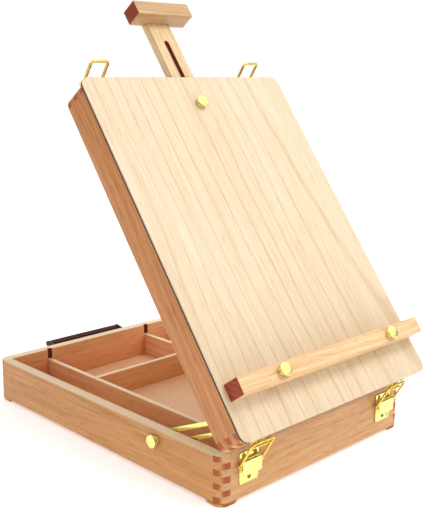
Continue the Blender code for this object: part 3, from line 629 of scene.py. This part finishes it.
def makeScrewHead():
    # a pan-head screw: a low dome with one slot, standing on Z = 0
    shape = screwShape
    slotWidth, slotDepth = shape["slot"]
    piece = startDisc(shape["corners"], shape["radius"], (0, 0, -shape["sink"]))
    drawOut(z=shape["sink"] + shape["rim"])
    for rise, share in shape["steps"]:
        drawOut(z=rise, grow=(share, share, 1))
    piece = finishMesh(piece, "screw_pattern")
    top = shape["rim"] + sum(rise for rise, share in shape["steps"])
    clearSelection()
    bpy.ops.mesh.primitive_cube_add(size=1, location=(0, 0, top * mm))
    cutter = bpy.context.object
    cutter.scale = (slotWidth * mm, 3 * shape["radius"] * mm, 2 * slotDepth * mm)
    cut = piece.modifiers.new("Slot", "BOOLEAN")
    cut.object = cutter
    cut.solver = "EXACT"
    applyModifiers(piece)
    discard(cutter)
    smoothByAngle(piece, 35)
    return piece


screwPattern = makeScrewHead()
screwTurns = (20, 75, 130, 155, 50, 100)   # degrees, as each was left when it was driven home


def driveScrew(name, placed, body, count, size=1.0, finish=agedBrass):
    twist = Matrix.Rotation(math.radians(screwTurns[count % len(screwTurns)]), 4, "Z") @ Matrix.Scale(size, 4)
    piece = copyTo(screwPattern, name, placed @ twist)
    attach(piece, body)
    dress(piece, finish)


outOfWall = Matrix.Rotation(math.radians(-90), 4, "X")   # a screw's Z onto a latch frame's Y, out of the wall
metalFace = 1.3                                          # mm from the wood to the face of a plate, as packed
screwSpots = {
    "plateTop": (0.6, -5.0),      # share of the half width, and mm from the seam
    "plateFoot": -29.2,           # mm from the seam
    "keeper": (0.5, 25.5),
}
trayTop, lidLow = backHigh.z, boxOf("lid_back_rail", lidUp)[0].z
wallOut = backHigh.y
for word, side in sides:
    for where in ("front", "back"):
        x = joints[f"{where}_lever_{word}_swing"]["pos_m"][0] / mm
        low, high = boxOf(f"latch_plate_{where}_{word}", lidUp if where == "back" else atRest)
        halfPlate = (high.x - low.x) / 2
        if where == "front":
            latch = Matrix.Translation(Vector((x, -wallOut, trayTop)) * mm) @ Matrix.Rotation(math.pi, 4, "Z")
            keeper, plateBody, keeperBody = lidUp @ latch, "base", "lid"
        else:
            keeper = Matrix.Translation(Vector((x, wallOut, lidLow)) * mm) @ Matrix.Rotation(math.pi, 4, "Y")
            latch, plateBody, keeperBody = lidUp @ keeper, "lid", "base"
        size = 1.0 if where == "front" else screwShape["backSize"]
        share, up = screwSpots["plateTop"]
        plateSpots = [(-halfPlate * share, up), (halfPlate * share, up), (0.0, screwSpots["plateFoot"])]
        share, up = screwSpots["keeper"]
        keeperSpots = [(-halfPlate * share, up), (halfPlate * share, up)]
        for count, (across, up) in enumerate(plateSpots):
            placed = latch @ Matrix.Translation(Vector((across, metalFace, up)) * mm) @ outOfWall
            driveScrew(f"{where}_plate_screw_{word}_{count + 1}", placed, plateBody, count, size)
        for count, (across, up) in enumerate(keeperSpots):
            placed = keeper @ Matrix.Translation(Vector((across, metalFace, up)) * mm) @ outOfWall
            driveScrew(f"{where}_keeper_screw_{word}_{count + 1}", placed, keeperBody, count + 3,
                       size * screwShape["backSize"])

print("brass done")

# Handle.

gripShape = {
    "cutsAlong": 12,
    "cutsAcross": (0.22, 0.5, 0.78),          # shares of the width
    "thin": (0.82, 0.92, 0.9),                # share of the thickness at the edges, beside them, at the ends
    "edge": 0.9,                              # mm, how far the edges are rounded
}
stitchShape = {
    "pitch": 4.0,                             # mm
    "length": 2.6,
    "radius": 0.35,
    "endEase": 0.16,
    "inset": 1.9,                             # mm from the grip's edge
    "sink": 0.35,                             # mm below the grip's face
    "clear": (5, 8),                          # mm left bare before the first stitch, and in all
}
swing = Vector(joints["handle_swing"]["pos_m"])
gripPoints = [vertex.co / mm - swing / mm for vertex in nodes["handle_grip"].data.vertices]
gripMiddle = sum(gripPoints, Vector()) / len(gripPoints)
rise = math.atan2(gripMiddle.z, gripMiddle.y)
handleFrame = Matrix.Translation(swing) @ Matrix.Rotation(rise, 4, "X")
flatPoints = [Matrix.Rotation(-rise, 3, "X") @ p for p in gripPoints]
gripLow = Vector([min(p[i] for p in flatPoints) for i in range(3)])
gripHigh = Vector([max(p[i] for p in flatPoints) for i in range(3)])


def makeGrip():
    # a strap folded over a cord core: thin at the edges and the ends, and slightly crowned in the middle
    shape = gripShape
    size, middle = gripHigh - gripLow, (gripHigh + gripLow) / 2
    atEdge, besideEdge, atEnd = shape["thin"]
    clearSelection()
    bpy.ops.mesh.primitive_cube_add(size=1, location=middle * mm)
    piece = bpy.context.object
    piece.scale = size * mm
    bpy.ops.object.transform_apply(location=True, rotation=False, scale=True)
    bpy.ops.object.mode_set(mode="EDIT")
    for cut in range(1, shape["cutsAlong"]):
        bpy.ops.mesh.select_all(action="SELECT")
        bpy.ops.mesh.bisect(plane_co=((gripLow.x + size.x * cut / shape["cutsAlong"]) * mm, 0, 0),
                            plane_no=(1, 0, 0))
    for share in shape["cutsAcross"]:
        bpy.ops.mesh.select_all(action="SELECT")
        bpy.ops.mesh.bisect(plane_co=(0, (gripLow.y + size.y * share) * mm, 0), plane_no=(0, 1, 0))
    bpy.ops.object.mode_set(mode="OBJECT")
    for vertex in piece.data.vertices:
        across = abs(vertex.co.y / mm - middle.y) / (size.y / 2)
        along = abs(vertex.co.x / mm - middle.x) / (size.x / 2)
        thinned = atEdge if across > 0.9 else besideEdge if across > 0.4 else 1.0
        thinned *= atEnd if along > 0.95 else 1.0
        vertex.co.z = (middle.z + (vertex.co.z / mm - middle.z) * thinned) * mm
    easeEdges(piece, shape["edge"], 3, 50)
    subdivide = piece.modifiers.new("Soft", "SUBSURF")
    subdivide.levels = subdivide.render_levels = 1
    applyModifiers(piece)
    piece.name = "leather_grip"
    piece.data.transform(handleFrame)
    smoothByAngle(piece, 60)
    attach(piece, "handle")
    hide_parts("handle_grip")
    dress(piece, leather)


def sewRow(name, y, z):
    # one stitch laid along the grip, and repeated to the other end
    shape = stitchShape
    before, bare = shape["clear"]
    clearSelection()
    bpy.ops.mesh.primitive_cylinder_add(vertices=8, radius=shape["radius"] * mm, depth=shape["length"] * mm,
                                        location=((gripLow.x + before) * mm, y * mm, z * mm),
                                        rotation=(0, math.radians(90), 0))
    stitch = bpy.context.object
    bpy.ops.object.transform_apply(location=True, rotation=True, scale=True)
    bpy.ops.object.mode_set(mode="EDIT")
    bpy.ops.mesh.select_all(action="SELECT")
    bpy.ops.mesh.bevel(offset=shape["endEase"] * mm, segments=1)
    bpy.ops.object.mode_set(mode="OBJECT")
    row = stitch.modifiers.new("Row", "ARRAY")
    row.use_relative_offset = False
    row.use_constant_offset = True
    row.constant_offset_displace = (shape["pitch"] * mm, 0, 0)
    row.count = int((gripHigh.x - gripLow.x - bare) / shape["pitch"])
    applyModifiers(stitch)
    stitch.name = name
    stitch.data.transform(handleFrame)
    smoothByAngle(stitch, 60)
    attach(stitch, "handle")
    dress(stitch, thread)


makeGrip()
for row, y in enumerate((gripLow.y + stitchShape["inset"], gripHigh.y - stitchShape["inset"])):
    for face, z in enumerate((gripLow.z + stitchShape["sink"], gripHigh.z - stitchShape["sink"])):
        sewRow(f"grip_stitches_{row + 1}_{face + 1}", y, z)

for node in nodes:
    if node.startswith(("handle_arm", "handle_bracket")):
        dress(easedCopy(node, 0.3, 2, 40), steel)
bracketScrews = {"in": 3.8, "fromEnd": 3.4, "face": 1.8,
                 "size": 0.8}   # mm from the flange's edge, ends and the wall
for word, side in sides:
    low, high = boxOf(f"handle_bracket_{word}")
    across = (high.x if side > 0 else low.x) - side * bracketScrews["in"]
    for count, up in enumerate((low.z + bracketScrews["fromEnd"], high.z - bracketScrews["fromEnd"])):
        placed = Matrix.Translation(Vector((across, wallOut + bracketScrews["face"], up)) * mm) @ outOfWall
        driveScrew(f"bracket_screw_{word}_{count + 1}", placed, "base", count + 2, bracketScrews["size"], steel)
discard(screwPattern)

print("handle done")

# Floor, light and camera.

bpy.ops.mesh.primitive_plane_add(size=16.0, location=(0, 0, 0))
floor = bpy.context.object
floor.name = "studio_floor"
floorPaper, floorShader = newMaterial("matt_white_paper")[::2]
floorShader.inputs["Base Color"].default_value = toLinear("#ffffff")
floorShader.inputs["Roughness"].default_value = 0.9
floorShader.inputs["Emission Color"].default_value = (1.0, 1.0, 1.0, 1.0)
floorShader.inputs["Emission Strength"].default_value = 0.34
dress(floor, floorPaper)

# The room is an even grey for lighting, plain white behind the object, and darker low down in the metal.
studio = {"ambient": 0.84, "behind": 1.0}
world = bpy.data.worlds.new("studio")
bpy.context.scene.world = world
world.use_nodes = True
sky = world.node_tree
background = sky.nodes["Background"]
rays = addNode(sky, "ShaderNodeLightPath")
height = addNode(sky, "ShaderNodeSeparateXYZ",
                 {0: addNode(sky, "ShaderNodeTexCoord").outputs["Generated"]}).outputs[2]
seen = addNode(sky, "ShaderNodeMapRange",
               {"Value": height, "From Min": 0.12, "From Max": 0.42, "To Min": 0.12, "To Max": 1.35},
               interpolation_type="SMOOTHSTEP").outputs[0]
inMetal = addNode(sky, "ShaderNodeMix",
                  {0: rays.outputs["Is Glossy Ray"], 2: studio["ambient"], 3: seen}).outputs[0]
shown = addNode(sky, "ShaderNodeMix",
                {0: rays.outputs["Is Camera Ray"], 2: inMetal, 3: studio["behind"]}).outputs[0]
sky.links.new(shown, background.inputs["Strength"])
background.inputs["Color"].default_value = (1.0, 1.0, 1.0, 1.0)


def addSoftbox(name, position, target, size, power):
    light = bpy.data.lights.new(name, "AREA")
    light.shape = "SQUARE"
    light.size = size
    light.energy = power
    lamp = bpy.data.objects.new(name, light)
    bpy.context.scene.collection.objects.link(lamp)
    lamp.location = position
    lamp.rotation_euler = (Vector(target) - Vector(position)).to_track_quat("-Z", "Y").to_euler()


addSoftbox("key_softbox", (0.45, -1.05, 1.9), (0, 0, 0.15), 0.8, 22)

view = {"position": (-678.3, -733.1, 407.1), "yaw": 44.17, "pitch": 11.87, "roll": 0.30, "lens": 60.94}
yaw, pitch, roll = (math.radians(view[key]) for key in ("yaw", "pitch", "roll"))
ahead = Vector((math.sin(yaw) * math.cos(pitch), math.cos(yaw) * math.cos(pitch), -math.sin(pitch)))
lens = bpy.data.cameras.new("camera")
camera = bpy.data.objects.new("camera", lens)
bpy.context.scene.collection.objects.link(camera)
lens.sensor_width = 36
lens.lens = view["lens"]
lens.clip_start, lens.clip_end = 0.05, 20
turned = ahead.to_track_quat("-Z", "Y").to_matrix().to_4x4() @ Matrix.Rotation(roll, 4, "Z")
camera.matrix_world = Matrix.Translation(Vector(view["position"]) * mm) @ turned
bpy.context.scene.camera = camera
bpy.context.scene.view_settings.view_transform = "Standard"

print("studio ready")
